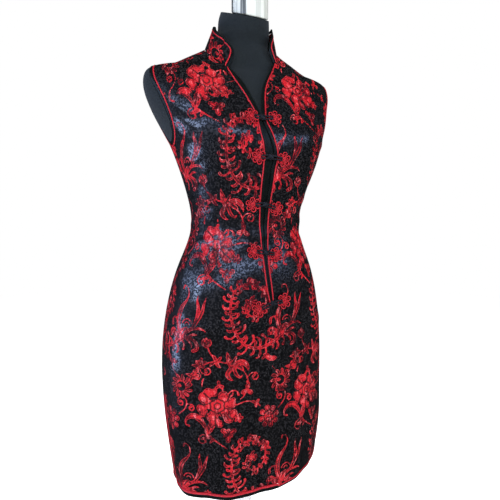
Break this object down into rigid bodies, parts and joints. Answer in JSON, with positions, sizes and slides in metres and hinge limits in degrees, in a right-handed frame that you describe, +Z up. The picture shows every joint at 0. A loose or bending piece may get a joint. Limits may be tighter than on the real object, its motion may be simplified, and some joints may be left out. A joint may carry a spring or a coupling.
{
  "type": "cheongsam dress on dress form",
  "caption": "Sleeveless knee-length cheongsam in black floral brocade with red piping and frog buttons, on a limbless dress form with a round foot.",
  "frame": {"origin": "centre of the round foot's underside", "axes": "+Z up, the front of the dress faces -Y, the wearer's left is +X"},
  "size_m": [0.4, 0.4, 1.5005],
  "materials": {
    "brocade": "black satin brocade with woven red flowers",
    "black_satin": "plain black satin",
    "red_piping": "red satin over cord",
    "red_cord": "red satin rouleau, coiled",
    "black_cord": "black satin rouleau, knotted",
    "form_jersey": "matte charcoal jersey over a hard shell",
    "neck_block": "pale grey moulded block",
    "stand_metal": "pale grey satin enamel"
  },
  "bodies": {
    "root": {"front_panel": "brocade", "back_panel": "brocade", "collar": "brocade", "hem_binding_front": "black_satin", "hem_binding_back": "black_satin", "hem_piping_front": "red_piping", "hem_piping_back": "red_piping", "armhole_binding_right": "black_satin", "armhole_binding_left": "black_satin", "armhole_piping_right": "red_piping", "armhole_piping_left": "red_piping", "front_binding_right": "black_satin", "front_binding_left": "black_satin", "front_piping_right": "red_piping", "front_piping_left": "red_piping", "collar_binding": "black_satin", "collar_piping": "red_piping", "underlap": "black_satin", "frog_flower_right_1": "red_cord", "frog_flower_left_1": "red_cord", "frog_knot_1": "black_cord", "frog_flower_right_2": "red_cord", "frog_flower_left_2": "red_cord", "frog_knot_2": "black_cord", "frog_flower_right_3": "red_cord", "frog_flower_left_3": "red_cord", "frog_knot_3": "black_cord", "frog_flower_right_4": "red_cord", "frog_flower_left_4": "red_cord", "frog_knot_4": "black_cord", "frog_flower_right_5": "red_cord", "frog_flower_left_5": "red_cord", "frog_knot_5": "black_cord", "form_torso": "form_jersey", "arm_cap_right": "form_jersey", "arm_cap_left": "form_jersey", "neck_block": "neck_block", "pole": "stand_metal", "foot": "stand_metal"}
  },
  "joints": []
}
